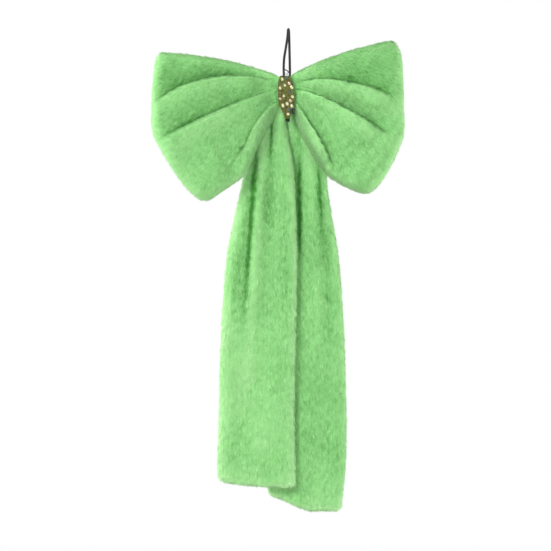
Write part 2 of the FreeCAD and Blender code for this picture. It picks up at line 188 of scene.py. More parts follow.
def mesh_object(name, points, faces, smooth_faces=True):
    """A mesh object from an array of points and an array of faces of one size."""
    mesh = bpy.data.meshes.new(name)
    corners = faces.shape[1]
    mesh.vertices.add(len(points))
    mesh.vertices.foreach_set("co", np.asarray(points, np.float32).ravel())
    mesh.loops.add(faces.size)
    mesh.loops.foreach_set("vertex_index", np.asarray(faces, np.int32).ravel())
    mesh.polygons.add(len(faces))
    mesh.polygons.foreach_set("loop_start", np.arange(0, faces.size, corners, dtype=np.int32))
    mesh.polygons.foreach_set("use_smooth", np.full(len(faces), smooth_faces))
    mesh.update(calc_edges=True)
    mesh.validate()
    return add_object(name, mesh)


def write_attribute(piece, name, values):
    """One number for each point of a mesh, which its material reads."""
    attribute = piece.data.attributes.new(name, "FLOAT", "POINT")
    attribute.data.foreach_set("value", np.asarray(values, np.float32).ravel())


def grid_faces(rows, columns, wrap=False):
    """Quads between neighbouring points of a rows by columns grid, whose columns may wrap round."""
    across = columns if wrap else columns - 1
    row, column = np.meshgrid(np.arange(rows - 1), np.arange(across), indexing="ij")
    following = (column + 1) % columns
    return np.stack([row * columns + column, row * columns + following,
                     (row + 1) * columns + following, (row + 1) * columns + column], -1).reshape(-1, 4)


def capped_faces(rings, sides):
    """Triangles of a stack of rings that close to one point at each end, numbered after the rings."""
    quads = grid_faces(rings, sides, wrap=True)
    ring = np.arange(sides)
    following = (ring + 1) % sides
    row = (rings - 1) * sides
    first = np.stack([np.full(sides, rings * sides), following, ring], -1)
    last = np.stack([np.full(sides, rings * sides + 1), row + ring, row + following], -1)
    return np.concatenate([quads[:, [0, 1, 2]], quads[:, [0, 2, 3]], first, last])


def shell(name, front, back, tone):
    """A closed shell of a front and a back grid, in mm, that share their border points."""
    rows, columns = front.shape[:2]
    inside = np.ones((rows, columns), bool)
    inside[[0, -1], :] = False
    inside[:, [0, -1]] = False
    number = np.arange(rows * columns).reshape(rows, columns)
    back_number = number.copy()
    back_number[inside] = rows * columns + np.arange(inside.sum())
    faces = grid_faces(rows, columns)
    back_faces = back_number.ravel()[faces][:, ::-1]
    faces = np.concatenate([faces, back_faces])
    points = np.concatenate([front.reshape(-1, 3), back[inside]])
    piece = mesh_object(name, points * MM, faces)
    write_attribute(piece, "tone", np.concatenate([tone.ravel(), tone[inside]]))
    return piece


def box_mm(node):
    """Lowest and highest corner of a CAD node, in millimetres."""
    low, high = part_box(node)
    return np.array(low) / MM, np.array(high) / MM


def box_middle(node):
    """Centre and half size of a CAD node's box, in millimetres."""
    low, high = box_mm(node)
    return (low + high) / 2, (high - low) / 2


def read_vectors(items, key):
    """A three-part property of a mesh's items, as an array with one row for each."""
    values = np.zeros(len(items) * 3)
    items.foreach_get(key, values)
    return values.reshape(-1, 3)


def read_corners(mesh):
    """Numbers of the points at the corners of a mesh's triangles, one row for each triangle."""
    corners = np.zeros(len(mesh.loops), np.int32)
    mesh.loops.foreach_get("vertex_index", corners)
    return corners.reshape(-1, 3)


def solid_centres(node):
    """Centre of each separate solid of a CAD node, in mm: points that share a triangle share a
    label."""
    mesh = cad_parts[node].data
    points = read_vectors(mesh.vertices, "co") / MM
    unique, number = np.unique(points.round(3), axis=0, return_inverse=True)
    triangles = number.ravel()[read_corners(mesh)]
    label = np.arange(len(unique))
    while True:
        lowest = label[triangles].min(1)
        following = label.copy()
        for corner in range(3):
            np.minimum.at(following, triangles[:, corner], lowest)
        if np.array_equal(following, label):
            break
        label = following
    return np.array([(unique[label == one].min(0) + unique[label == one].max(0)) / 2
                     for one in np.unique(label)])


# ---------------------------------------------------------------- shapes of the cloth

def round_rim(distance, width):
    """Height of a quarter circle, 0 at the rim and 1 at a width from it."""
    return np.sqrt(1.0 - (1.0 - np.clip(distance / width, 0.0, 1.0)) ** 2)


def round_corner(across, along, size):
    """Press the outer top corner of a unit square into a quarter disc: inside the corner's own square,
    points are drawn in by the ratio of their larger coordinate to their distance."""
    u = np.clip(1.0 - across / size, 0.0, 1.0)
    v = np.clip(1.0 - (1.0 - along) / size, 0.0, 1.0)
    draw = np.maximum(u, v) / np.maximum(np.hypot(u, v), 1e-9)
    both = (u > 0) & (v > 0)
    return (np.where(both, size * (1.0 - u * draw), across),
            np.where(both, 1.0 - size * (1.0 - v * draw), along))


def pleat_height(offset):
    """A fold's height across a pleat line: it sinks into the crease above the line, stands up in a
    quick round lip just below it and slopes away from there."""
    above = -0.45 * np.exp(np.minimum(offset, 0.0) / 0.08)
    lip = 1.0 - (1.0 - np.clip(offset / 0.04, 0.0, 1.0)) ** 2
    below = -0.45 + 1.45 * lip
    return np.where(offset < 0.0, above, below * np.exp(-np.maximum(offset - 0.04, 0.0) / 0.17))


def two_sides(x, z, plane, front_height, back_height):
    """Front and back grids that stand off a plane by their heights, and never cross it."""
    return (np.stack([x, plane - np.maximum(front_height, 0.0), z], -1),
            np.stack([x, plane + np.maximum(back_height, 0.0), z], -1))


def loop_surface(ribs, pleats, corner, sizes, seed):
    """Front grid, back grid and tone of a loop, in mm.

    Across the loop, curves through the ribs' control points give a fan of quadratic curves that run
    from the pinch to the outer edge. The cloth's height over the seam plane is a pillow that is round at
    every rim, with each pleat's fold added and its lip moved over the crease.
    """
    places = np.array([rib[0] for rib in ribs])
    across = spaced(190, 0.28)[:, None]
    run = np.linspace(0.0, 1.0, 120)[None, :]
    along = 0.45 * run + 0.55 * (1.0 - (1.0 - run) ** 2)
    curve_across, curve_along = round_corner(across, along, corner)
    pinch, middle, outer = (through(places, [rib[k] for rib in ribs], curve_across)
                            for k in (1, 2, 3))
    reach = curve_along[..., None]
    flat = (1 - reach) ** 2 * pinch + 2 * reach * (1 - reach) * middle + reach ** 2 * outer

    width = np.linalg.norm(flat[-1] - flat[0], axis=-1)[None, :]
    length = np.linalg.norm(outer - pinch, axis=-1)
    rim_width = np.minimum(12.0, 0.3 * width)
    foot_width = np.minimum(8.0, 0.16 * width)
    to_top, to_foot = across * width, (1 - across) * width
    to_outer, to_pinch = (1 - along) * length, along * length
    rim = (round_rim(to_top, rim_width) * round_rim(to_foot, foot_width)
           * round_rim(to_outer, 12.0) * round_rim(to_pinch + 0.6, 5.0))
    rim[0, :], rim[-1, :], rim[:, -1] = 0.0, 0.0, 0.0

    points = np.stack([flat[..., 0], np.zeros(flat.shape[:2]), flat[..., 1]], -1)
    opening = smooth(0.0, 0.5, along)
    belly = 1.0 + 0.16 * hump(across - 0.66, 0.17)
    height = (4.5 + (sizes.loop_depth / MM - 4.5) * opening) * belly * rim
    slide, shade = np.zeros((2, *height.shape))
    for place, depth, fade in pleats:
        offset = across - place
        strength = smooth(0.0, 0.22, along) * (1.0 - smooth(fade - 0.3, fade, along))
        strength = strength * np.minimum(1.0, width / 75.0) * rim
        height = height + depth * strength * pleat_height(offset)
        slide += 4.0 * strength * hump(offset - 0.04, 0.028) * (offset > -0.02)
        # Painted shade in each crease and the band above it, and a painted highlight on the lip below it.
        shade += strength * (0.14 * hump(offset - 0.055, 0.03)
                             - 0.45 * hump(offset, 0.014)
                             - 0.24 * np.exp(np.minimum(offset, 0.0) / 0.07) * (offset < 0.0))
    height = height + rim * (1.4 * ripple(points, 42.0, seed) + 0.2 * ripple(points, 16.0, seed + 1))
    upwards = unit(np.gradient(flat, axis=0) * -1.0)
    flat = flat + upwards * slide[..., None]

    seam = -5.5 - 3.5 * smooth(0.1, 0.6, along)
    back_height = (3.0 + 6.5 * opening) * rim
    back_height = back_height + rim * 0.8 * ripple(points + 90.0, 36.0, seed + 2)
    front, back = two_sides(flat[..., 0], flat[..., 1], seam, height, back_height)
    # Painted shade on the top panel, above the first pleat, where it turns up away from the light.
    upper = pleats[0][0]
    shade -= 0.10 * (1.0 - smooth(upper - 0.06, upper + 0.02, across)) * smooth(0.1, 0.4, along)
    # Painted light along the outer, top and lower rims and painted shade towards the pinch, added to the
    # pleats' painted shade and highlights.
    tone = (0.46 + 0.34 * np.exp(-to_outer / 5.0) + 0.20 * np.exp(-to_top / 4.0) + shade
            + 0.12 * np.exp(-to_foot / 4.0) - 0.18 * (1.0 - smooth(0.0, 0.12, along)))
    return front, back, np.clip(tone, 0.0, 1.0)


def tail_surface(edges, creases, seam, sizes, corner, main_tone, neck_painted_shade, seed):
    """Front grid, back grid and tone of a tail, in mm.

    Its two edges are curves through the measured points. The cloth is a flat pillow across them, with
    creases that fade as they go down: the cloth on a crease's lower side, which is -1 for left or 1 for
    right, lies behind the fold's lip. A crease is its x at its top, its top, the heights where it starts
    and ends to fade, its depth, its lean and its lower side.
    """
    edges = np.array(edges, float)
    high, low = edges[0, 0], edges[-1, 0]
    down = spaced(300, 0.2)[:, None]
    drop = high + (low - high) * down
    knots = (edges[:, 0] - high) / (low - high)
    left = through(knots, edges[:, 1], down[:, 0])[:, None]
    right = through(knots, edges[:, 2], down[:, 0])[:, None]
    across = spaced(96, 0.3)[None, :]
    x = left + (right - left) * across
    width = right - left
    to_left, to_right = across * width, (1 - across) * width
    to_foot = (1 - down) * (high - low)
    foot = np.exp(-to_foot / 42.0) * corner(across)
    z = drop + foot
    rim_width = np.minimum(8.0, 0.33 * width)
    rim = (round_rim(to_left, rim_width) * round_rim(to_right, rim_width)
           * round_rim(to_foot, 7.0) * round_rim(down * (high - low) + 0.5, 4.0))
    rim[0, :], rim[-1, :], rim[:, 0], rim[:, -1] = 0.0, 0.0, 0.0, 0.0

    points = np.stack([x, np.zeros_like(x), z], -1)
    thick = sizes.tail_thickness / MM
    gather = 1.0 - smooth(20.0, 120.0, high - z)
    height = (0.5 * thick + 1.5 * gather) * rim
    behind, shade = np.zeros((2, *height.shape))
    for crease_x, top, fade_from, fade_to, depth, lean, lower_side in creases:
        line = crease_x + lean * (top - z)
        offset = -lower_side * (x - line)
        strength = smooth(fade_to, fade_from, z) * (1.0 - 0.7 * smooth(top - 30.0, top + 5.0, z))
        behind = behind - depth * strength * (1.0 - smooth(-4.0, 3.0, offset))
        lip = hump(offset - 7.0, 5.0)
        valley = hump(offset, 1.1 + 0.2 * depth)
        height = height + rim * strength * (0.3 * depth * lip - 0.3 * depth * valley)
        # Painted highlight on each crease's lip, and painted shade in the crease and on the cloth behind
        # it.
        shade += (0.042 * depth * lip * smooth(fade_to - 160.0, fade_from, z)
                  - strength * ((0.34 + 0.03 * depth) * valley + 0.06 * (offset < 0.0)))
    height = height + rim * (0.9 * ripple(points * [1, 1, 0.3], 28.0, seed) * smooth(0.0, 0.3, down)
                             + 0.12 * ripple(points * [1, 1, 0.5], 13.0, seed + 1))
    # Painted shade in a broad band across the upper middle of the tail, under the loops, away from its
    # edges.
    inner = smooth(2.0, 12.0, np.minimum(to_left, to_right))
    shade -= 0.20 * hump(down - 0.26, 0.19) * inner
    # Painted shade at the neck under the pinch; a negative amount paints light there.
    shade -= neck_painted_shade * (1.0 - smooth(0.0, 0.12, down))
    sway = 1.2 * ripple(points * [0.3, 1, 1.0], 160.0, seed + 2, 6) * smooth(0.1, 0.5, down)
    plane = seam(down) - behind + sway
    front, back = two_sides(x, z, plane, height, 0.5 * thick * rim)
    # Painted light along the left, right and lower rims; the last ripple is a random swing of tone.
    tone = (main_tone + 0.28 * np.exp(-to_left / 6.0) + 0.24 * np.exp(-to_right / 4.0) + shade
            + 0.40 * np.exp(-to_foot / 5.0) + 0.035 * ripple(points * [1, 1, 0.4], 34.0, seed + 3))
    return front, back, np.clip(tone, 0.0, 1.0)


def lump(name, low, high, power, gathers, seed):
    """A closed soft lump between two corners, in mm: a rounded box made from a sphere whose coordinates
    are raised to a power, with vertical gathers pressed into its sides."""
    rows, columns = 48, 96
    polar = np.linspace(0.0, math.pi, rows)[1:-1, None]
    turn = np.linspace(0.0, 2 * math.pi, columns, endpoint=False)[None, :]
    ball = np.stack([np.sin(polar) * np.cos(turn), np.sin(polar) * np.sin(turn),
                     np.cos(polar) + 0 * turn], -1)
    ball = np.concatenate([[[0.0, 0.0, 1.0]], ball.reshape(-1, 3), [[0.0, 0.0, -1.0]]])
    body = np.sign(ball) * np.abs(ball) ** power
    centre, half = (low + high) / 2, (high - low) / 2
    angle = np.arctan2(ball[:, 1], ball[:, 0])
    press = 1.0 - 0.07 * (0.5 + 0.5 * np.cos(gathers * angle)) * (1 - np.abs(ball[:, 2]) ** 3)
    points = centre + half * body * np.stack([press, press, np.ones_like(press)], -1)
    points += 0.3 * ripple(points, 9.0, seed)[:, None] * unit(ball)
    sides = grid_faces(rows - 2, columns, wrap=True)[:, ::-1] + 1
    last = len(points) - 1
    ring = np.arange(columns)
    top = np.stack([np.zeros(columns, int), ring + 1, (ring + 1) % columns + 1], -1)
    foot_row = 1 + (rows - 3) * columns
    foot = np.stack([np.full(columns, last), foot_row + (ring + 1) % columns, foot_row + ring], -1)
    triangles = np.concatenate([sides[:, [0, 1, 2]], sides[:, [0, 2, 3]], top, foot])
    piece = mesh_object(name, points * MM, triangles)
    write_attribute(piece, "tone", np.full(len(points), 0.4))
    return piece


# ---------------------------------------------------------------- pile

def scatter(piece, count, rng):
    """Random points on a mesh, spread evenly over its area, with their normals and tones, in mm."""
    mesh = piece.data
    mesh.calc_loop_triangles()
    corners = np.zeros(len(mesh.loop_triangles) * 3, np.int32)
    mesh.loop_triangles.foreach_get("vertices", corners)
    corners = corners.reshape(-1, 3)
    points = read_vectors(mesh.vertices, "co") / MM
    normals = read_vectors(mesh.vertices, "normal")
    tones = np.zeros(len(mesh.vertices))
    mesh.attributes["tone"].data.foreach_get("value", tones)
    a, b, c = (points[corners[:, k]] for k in range(3))
    area = np.linalg.norm(np.cross(b - a, c - a), axis=1)
    chosen = np.searchsorted(np.cumsum(area) / area.sum(),
                             (np.arange(count) + rng.random(count)) / count)
    chosen = np.minimum(chosen, len(corners) - 1)
    first, second = rng.random((2, count))
    folded = first + second > 1
    first, second = np.where(folded, 1 - first, first), np.where(folded, 1 - second, second)
    weights = np.stack([1 - first - second, first, second], -1)
    picked = corners[chosen]

    def mix(values):
        """Each chosen triangle's corner values, mixed by the weights of the point in it."""
        return (values[picked] * weights.reshape(count, 3, *[1] * (values.ndim - 1))).sum(1)

    return mix(points), unit(mix(normals)), mix(tones)


def pile(name, piece, count, flow, sizes, seed, grain=(1.0, 1.0, 1.0)):
    """Tufts of pile on a piece, each a thin closed spike of four triangles.

    A tuft leans from the surface's normal towards the flow, by a lift that a soft random field changes,
    so that neighbours lie together in locks. Its normals are mostly the cloth's own, which shades the
    pile softly. The grain stretches the fine streaks of its tone: a number below one makes them longer
    along that axis. No tuft stands right in front of the band's base or behind the felt patch.
    """
    rng = np.random.default_rng(seed)
    roots, normals, tones = scatter(piece, count, rng)
    for node, facing in (("band_base", -1.0), ("back_patch", 1.0)):
        low, high = box_mm(node)
        within = ((roots > low - 0.5) & (roots < high + 0.5))[:, [0, 2]].all(1)
        bare = within & (roots[:, 1] * facing > 5.0)
        roots, normals, tones = roots[~bare], normals[~bare], tones[~bare]
    count = len(roots)
    length = sizes.pile_length / MM * rng.uniform(0.75, 1.15, count)
    width = sizes.tuft_width / MM * rng.uniform(0.8, 1.2, count)
    lock = ripple(roots, 7.0, seed + 10)
    part = ripple(roots, 4.0, seed + 11)
    lay = flow(roots, normals)
    lay = unit(lay - normals * (lay * normals).sum(1)[:, None])
    sideways = np.cross(normals, lay)
    streak = ripple(roots * grain, 2.6, seed + 12, 40)
    swing = 0.15 * lock + 0.16 * part + 0.26 * rng.normal(size=count)
    lift = 0.58 + 0.10 * lock + 0.14 * rng.normal(size=count)
    direction = unit(lay + sideways * swing[:, None] + normals * lift[:, None])
    first = unit(np.cross(direction, normals))
    second = np.cross(direction, first)
    sink, droop = 0.5, 0.35
    base = roots - normals * sink
    points = np.empty((count, 4, 3))
    for corner in range(3):
        turn = 2 * math.pi * corner / 3
        points[:, corner] = base + ((first * math.cos(turn) + second * math.sin(turn))
                                    * width[:, None] / 2)
    points[:, 3] = base + direction * length[:, None] - [0.0, 0.0, droop]
    start = np.arange(count)[:, None] * 4
    faces = (start[:, :, None] + np.array([[0, 1, 3], [1, 2, 3], [2, 0, 3], [0, 2, 1]])).reshape(-1, 3)
    coat = mesh_object(name, points.reshape(-1, 3) * MM, faces)
    shade = tones + 0.03 * lock + 0.055 * rng.normal(size=count) + 0.05 * streak
    # Painted shade at each tuft's root and painted light at its tip.
    root_painted_shade, tip_painted_light = -0.10, 0.08
    tone = shade[:, None] + np.array([root_painted_shade, root_painted_shade, root_painted_shade, tip_painted_light])
    write_attribute(coat, "tone", np.clip(tone, 0.0, 1.0))
    outward = points - (base + direction * length[:, None] * 0.3)[:, None]
    own_share = 0.15
    soft = unit((1.0 - own_share) * normals[:, None] + own_share * unit(outward))
    coat.data.normals_split_custom_set_from_vertices(soft.reshape(-1, 3))
    return coat


# ---------------------------------------------------------------- band, stones and wires

def leaf_surface(low, high, crown, lean):
    """Front and back grids of the band's base: a leaf between two corners, which narrows to its foot,
    whose middle line leans to the right as it goes down and whose front is a low dome."""
    down = np.linspace(0.0, 1.0, 60)[:, None]
    side = np.sin(np.linspace(-math.pi / 2, math.pi / 2, 40))[None, :]
    half = (high[0] - low[0]) / 2 - 0.1 * abs(lean)
    leaf = through([share for share, _ in BAND_LEAF], [part for _, part in BAND_LEAF], down[:, 0])
    width = half * np.minimum(leaf, 1.0)[:, None]
    middle = (low[0] + high[0]) / 2 + lean * (down - 0.4)
    x = middle + width * side
    z = high[2] + (low[2] - high[2]) * down + 0.0 * side
    ends = np.clip(np.minimum(down, 1 - down) / 0.12, 0.0, 1.0)
    dome = crown * np.sqrt(np.clip(1.0 - side ** 2, 0.0, 1.0)) * np.sqrt(1.0 - (1.0 - ends) ** 2)
    front = np.stack([x, low[1] + crown - dome, z], -1)
    back = np.stack([x, high[1] + 0.0 * x, z], -1)
    front[[0, -1], :, 1] = high[1] - 0.5
    front[:, [0, -1], 1] = high[1] - 0.5
    return front, back


def turned(profile, sides, centres, turns, name, smooth_faces=False, squeeze=None, leans=None):
    """Copies of one turned shape: a profile of (radius, distance forwards) pairs carried round an axis
    that points at -Y, closed at both ends, set at each centre and turned about its axis. Each copy may be
    drawn out upwards by its squeeze, and then leant to the left by its lean."""
    profile = np.array(profile, float)
    angle = np.arange(sides) * 2 * math.pi / sides
    angles = angle[None, None, :] + np.asarray(turns)[:, None, None]
    radius = profile[None, :, None, 0]
    stretch = np.ones(len(centres)) if squeeze is None else np.asarray(squeeze)
    shape = np.stack([radius * np.cos(angles), -profile[None, :, None, 1] + 0.0 * angles,
                      radius * np.sin(angles) * stretch[:, None, None]], -1)
    if leans is not None:
        cosine, sine = (function(np.asarray(leans))[:, None, None]
                        for function in (np.cos, np.sin))
        shape = np.stack([shape[..., 0] * cosine - shape[..., 2] * sine, shape[..., 1],
                          shape[..., 0] * sine + shape[..., 2] * cosine], -1)
    points = shape + np.asarray(centres)[:, None, None, :]
    poles = np.asarray(centres)[:, None, :] - np.stack(
        [np.zeros(2), profile[[0, -1], 1], np.zeros(2)], -1)[None]
    points = np.concatenate([points.reshape(len(centres), -1, 3), poles], 1)
    triangles = capped_faces(len(profile), sides)
    start = np.arange(len(centres))[:, None, None] * points.shape[1]
    return mesh_object(name, points.reshape(-1, 3) * MM,
                       (triangles[None] + start).reshape(-1, 3), smooth_faces)


def tube(name, path, radius):
    """A round tube along a path in mm: a circle carried along it, square to the path, with closed
    ends."""
    sides = 12
    run = unit(np.gradient(path, axis=0))
    reference = np.array([0.31, 0.83, 0.47])
    first = unit(np.cross(run, reference))
    second = np.cross(run, first)
    angle = np.arange(sides)[None, :, None] * 2 * math.pi / sides
    rings = path[:, None] + radius * (np.cos(angle) * first[:, None] + np.sin(angle) * second[:, None])
    points = np.concatenate([rings.reshape(-1, 3), path[[0, -1]]])
    return mesh_object(name, points * MM, capped_faces(len(path), sides))


def join_pieces(name, pieces):
    """One piece from several, which are taken away."""
    points, faces, start = [], [], 0
    for piece in pieces:
        mesh = piece.data
        points.append(read_vectors(mesh.vertices, "co"))
        faces.append(read_corners(mesh) + start)
        start += len(mesh.vertices)
        bpy.data.objects.remove(piece)
        bpy.data.meshes.remove(mesh)
    return mesh_object(name, np.concatenate(points), np.concatenate(faces), False)


def fix_outside(piece):
    """Turn a closed mesh's faces outwards."""
    work = bmesh.new()
    work.from_mesh(piece.data)
    bmesh.ops.recalc_face_normals(work, faces=work.faces)
    work.to_mesh(piece.data)
    work.free()
    return piece


# ---------------------------------------------------------------- materials

def node_group(name, inputs, outputs):
    """An empty shader group with named inputs and outputs, and its two end nodes."""
    group = bpy.data.node_groups.new(name, "ShaderNodeTree")
    for label, kind, default in inputs:
        socket = group.interface.new_socket(label, in_out="INPUT", socket_type=kind)
        socket.default_value = default
    for label, kind in outputs:
        group.interface.new_socket(label, in_out="OUTPUT", socket_type=kind)
    return group, group.nodes.new("NodeGroupInput"), group.nodes.new("NodeGroupOutput")


def add_node(tree, kind, links=(), **settings):
    """A node with its settings, whose inputs take a value or another node's output socket."""
    made = tree.nodes.new(kind)
    for key, value in settings.items():
        setattr(made, key, value)
    for label, value in dict(links).items():
        socket = made.inputs[label]
        if isinstance(value, bpy.types.NodeSocket):
            tree.links.new(value, socket)
        else:
            socket.default_value = value
    return made


def maths(tree, operation, first, second):
    """Output socket of a sum on two numbers, each a value or another node's output."""
    return add_node(tree, "ShaderNodeMath", {0: first, 1: second}, operation=operation).outputs[0]


def mixed(tree, factor, first, second):
    """Output socket of a mix of two colours by a factor, each a value or another node's output."""
    mix = add_node(tree, "ShaderNodeMix", {"Factor": factor, "A": first, "B": second}, data_type="RGBA")
    return mix.outputs["Result"]


def pile_shade_group():
    """Colour of pile: three colours from deep to tip, chosen by the tone attribute and by soft
    patches. The deep colour stands for painted shade and the tip colour for painted light."""
    group, start, end = node_group(
        "Pile Shade",
        [("Deep", "NodeSocketColor", (0.05, 0.2, 0.03, 1)),
         ("Middle", "NodeSocketColor", (0.2, 0.5, 0.1, 1)),
         ("Tip", "NodeSocketColor", (0.5, 0.8, 0.4, 1)), ("Patch Size", "NodeSocketFloat", 60.0),
         ("Patch Strength", "NodeSocketFloat", 0.12)],
        [("Color", "NodeSocketColor")])
    tone = add_node(group, "ShaderNodeAttribute", attribute_name="tone")
    place = add_node(group, "ShaderNodeTexCoord")
    patches = add_node(group, "ShaderNodeTexNoise", {
        "Vector": place.outputs["Object"], "Scale": start.outputs["Patch Size"], "Detail": 3.0})
    centred = maths(group, "SUBTRACT", patches.outputs["Fac"], 0.5)
    swing = maths(group, "MULTIPLY", centred, start.outputs["Patch Strength"])
    total = maths(group, "ADD", tone.outputs["Fac"], swing)
    lower, upper = (add_node(group, "ShaderNodeMapRange", {
        "Value": total, "From Min": start_at, "From Max": start_at + 0.5})
        for start_at in (0.0, 0.5))
    dark = mixed(group, lower.outputs["Result"], start.outputs["Deep"], start.outputs["Middle"])
    light = mixed(group, upper.outputs["Result"], dark, start.outputs["Tip"])
    group.links.new(light, end.inputs["Color"])
    return group


def grain_group():
    """A fine grain: a height for a bump and a mask of the same noise, at a given scale."""
    group, start, end = node_group(
        "Fine Grain", [("Scale", "NodeSocketFloat", 900.0), ("Detail", "NodeSocketFloat", 2.0)],
        [("Height", "NodeSocketFloat"), ("Mask", "NodeSocketFloat")])
    place = add_node(group, "ShaderNodeTexCoord")
    noise = add_node(group, "ShaderNodeTexNoise", {
        "Vector": place.outputs["Object"], "Scale": start.outputs["Scale"],
        "Detail": start.outputs["Detail"]})
    mask = add_node(group, "ShaderNodeMapRange", {"Value": noise.outputs["Fac"], "From Min": 0.35,
                                                  "From Max": 0.65})
    group.links.new(noise.outputs["Fac"], end.inputs["Height"])
    group.links.new(mask.outputs["Result"], end.inputs["Mask"])
    return group


def group_node(tree, group, values):
    """A placed shader group with its own values."""
    placed = tree.nodes.new("ShaderNodeGroup")
    placed.node_tree = group
    for label, value in values.items():
        placed.inputs[label].default_value = value
    return placed


def new_material(name, values):
    """A material whose Principled shader has constants set on its own sockets."""
    material = bpy.data.materials.new(name)
    material.use_nodes = True
    shader = material.node_tree.nodes["Principled BSDF"]
    for label, value in values.items():
        shader.inputs[label].default_value = value
    return material, material.node_tree, shader


def colour(value):
    """An RGB property as RGBA."""
    return (*value, 1.0)


def add_relief(tree, shader, height, strength, distance):
    """Give a shader a bump from a height socket, over a distance in metres."""
    relief = add_node(tree, "ShaderNodeBump",
                      {"Height": height, "Strength": strength, "Distance": distance})
    tree.links.new(relief.outputs["Normal"], shader.inputs["Normal"])


def plush_material(groups, colours, name, bump):
    """Green pile or the cloth under it: dull, with a colour that its tone attribute drives."""
    material, tree, shader = new_material(name, {"Roughness": 0.95, "Specular IOR Level": 0.05})
    shade = group_node(tree, groups["pile"], {
        "Deep": colour(colours.pile_deep_painted_shade), "Middle": colour(colours.pile_middle),
        "Tip": colour(colours.pile_tip_painted_light), "Patch Size": PLUSH_PATCH_SIZE, "Patch Strength": 0.22})
    tree.links.new(shade.outputs["Color"], shader.inputs["Base Color"])
    if bump:
        grain = group_node(tree, groups["grain"], {"Scale": 700.0, "Detail": 3.0})
        add_relief(tree, shader, grain.outputs["Height"], 0.6, 0.0015)
    return material


def two_tone_material(groups, name, low, high, scale, bump, values):
    """A finish of two close colours mixed by a fine grain, with the same grain as a slight relief."""
    material, tree, shader = new_material(name, values)
    grain = group_node(tree, groups["grain"], {"Scale": scale, "Detail": 3.0})
    tree.links.new(mixed(tree, grain.outputs["Mask"], colour(low), colour(high)),
                   shader.inputs["Base Color"])
    if bump:
        add_relief(tree, shader, grain.outputs["Height"], 0.5, bump)
    return material


def braided_material(name, low, high):
    """A fine round braid: two crossing bands of waves along Object Z, as colour and as relief."""
    material, tree, shader = new_material(name, {"Roughness": 0.6, "Specular IOR Level": 0.3})
    place = add_node(tree, "ShaderNodeTexCoord")
    waves = []
    for lean in (0.7, -0.7):
        turned_place = add_node(tree, "ShaderNodeMapping", {"Vector": place.outputs["Object"],
                                                            "Rotation": (0.0, lean, 0.0)})
        waves.append(add_node(tree, "ShaderNodeTexWave", {
            "Vector": turned_place.outputs["Vector"], "Scale": 520.0, "Distortion": 0.4},
            bands_direction="Z"))
    weave = maths(tree, "MAXIMUM", waves[0].outputs["Fac"], waves[1].outputs["Fac"])
    tree.links.new(mixed(tree, weave, colour(low), colour(high)),
                   shader.inputs["Base Color"])
    add_relief(tree, shader, weave, 0.5, 0.0004)
    return material


def crystal_material(groups, name, tint, clear):
    """Cut glass over foil: bright and glossy, with a faint cloudiness in its colour. Clear is how
    see-through it is."""
    deeper = tuple(channel * 0.72 for channel in tint)
    return two_tone_material(groups, name, deeper, tint, 500.0, 0.0, {
        "Roughness": 0.12, "Specular IOR Level": 0.7, "Coat Weight": 0.6, "Coat Roughness": 0.05,
        "Transmission Weight": clear, "IOR": 1.55})


MATERIALS = {}


def make_materials(colours):
    """Every finish of the bow, by name."""
    groups = {"pile": pile_shade_group(), "grain": grain_group()}
    MATERIALS["pile"] = plush_material(groups, colours, "Plush pile", False)
    MATERIALS["cloth"] = plush_material(groups, colours, "Plush cloth", True)
    MATERIALS["cord"] = braided_material("Black braided cord", (0.004, 0.004, 0.004),
                                         (0.022, 0.022, 0.022))
    for key, name, low, high, scale, bump, values in (
            ("wire", "Black wire", (0.006, 0.006, 0.006), (0.02, 0.02, 0.022), 1500.0, 0.0,
             {"Roughness": 0.35, "Coat Weight": 0.1, "Coat Roughness": 0.3}),
            ("felt", "Green felt", (0.035, 0.16, 0.02), (0.06, 0.24, 0.04), 900.0, 0.0006,
             {"Roughness": 0.95, "Sheen Weight": 0.4}),
            ("base", "Olive beaded mesh", colours.base_low, colours.base_high, 1100.0, 0.0004,
             {"Roughness": 0.5}),
            ("seed", "Olive glass seeds", (0.045, 0.022, 0.006), (0.15, 0.17, 0.016), 420.0, 0.0,
             {"Roughness": 0.35, "Specular IOR Level": 0.3, "Coat Weight": 0.1}),
            # The cups' dark olive-brown gold is painted shade: gold as it looks in shade.
            ("cup", "Gold cups with painted shade", (0.07, 0.055, 0.015), (0.22, 0.19, 0.05), 800.0, 0.0002,
             {"Roughness": 0.34, "Metallic": 0.8})):
        MATERIALS[key] = two_tone_material(groups, name, low, high, scale, bump, values)
    for stone, tint in (("cream", colours.stone_cream), ("rose", colours.stone_rose),
                        ("blue", colours.stone_blue), ("clear", colours.stone_clear)):
        MATERIALS[stone] = crystal_material(groups, stone.title() + " crystal", tuple(tint),
                                            0.0 if stone == "clear" else 0.15)


def finish_piece(piece, material, slot, body, *nodes):
    """Give a piece its material, let it ride on a body named by a string or else fix its transform in
    place, and stand for its CAD nodes. The slot is not used.
    """
    piece.data.materials.append(MATERIALS[material])
    if isinstance(body, str):
        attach(piece, body)
    else:
        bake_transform(piece)
    if nodes:
        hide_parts(*nodes)
    return piece


def finish_wire(piece, node):
    """Finish a piece of black wire that rides on the knot and stands for a CAD node."""
    finish_piece(fix_outside(piece), "wire", "wire", "knot", node)


# ---------------------------------------------------------------- settings

def length_of(name, description, default):
    """A length that a user can change."""
    return FloatProperty(name=name, description=description, default=default, unit="LENGTH")


def colour_of(name, description, default):
    """A colour that a user can change."""
    return FloatVectorProperty(name=name, description=description, default=default, subtype="COLOR")


def tufts_of(name, place, default):
    """A number of tufts that a user can change."""
    return IntProperty(name=name, description="Tufts of pile on " + place, default=default)


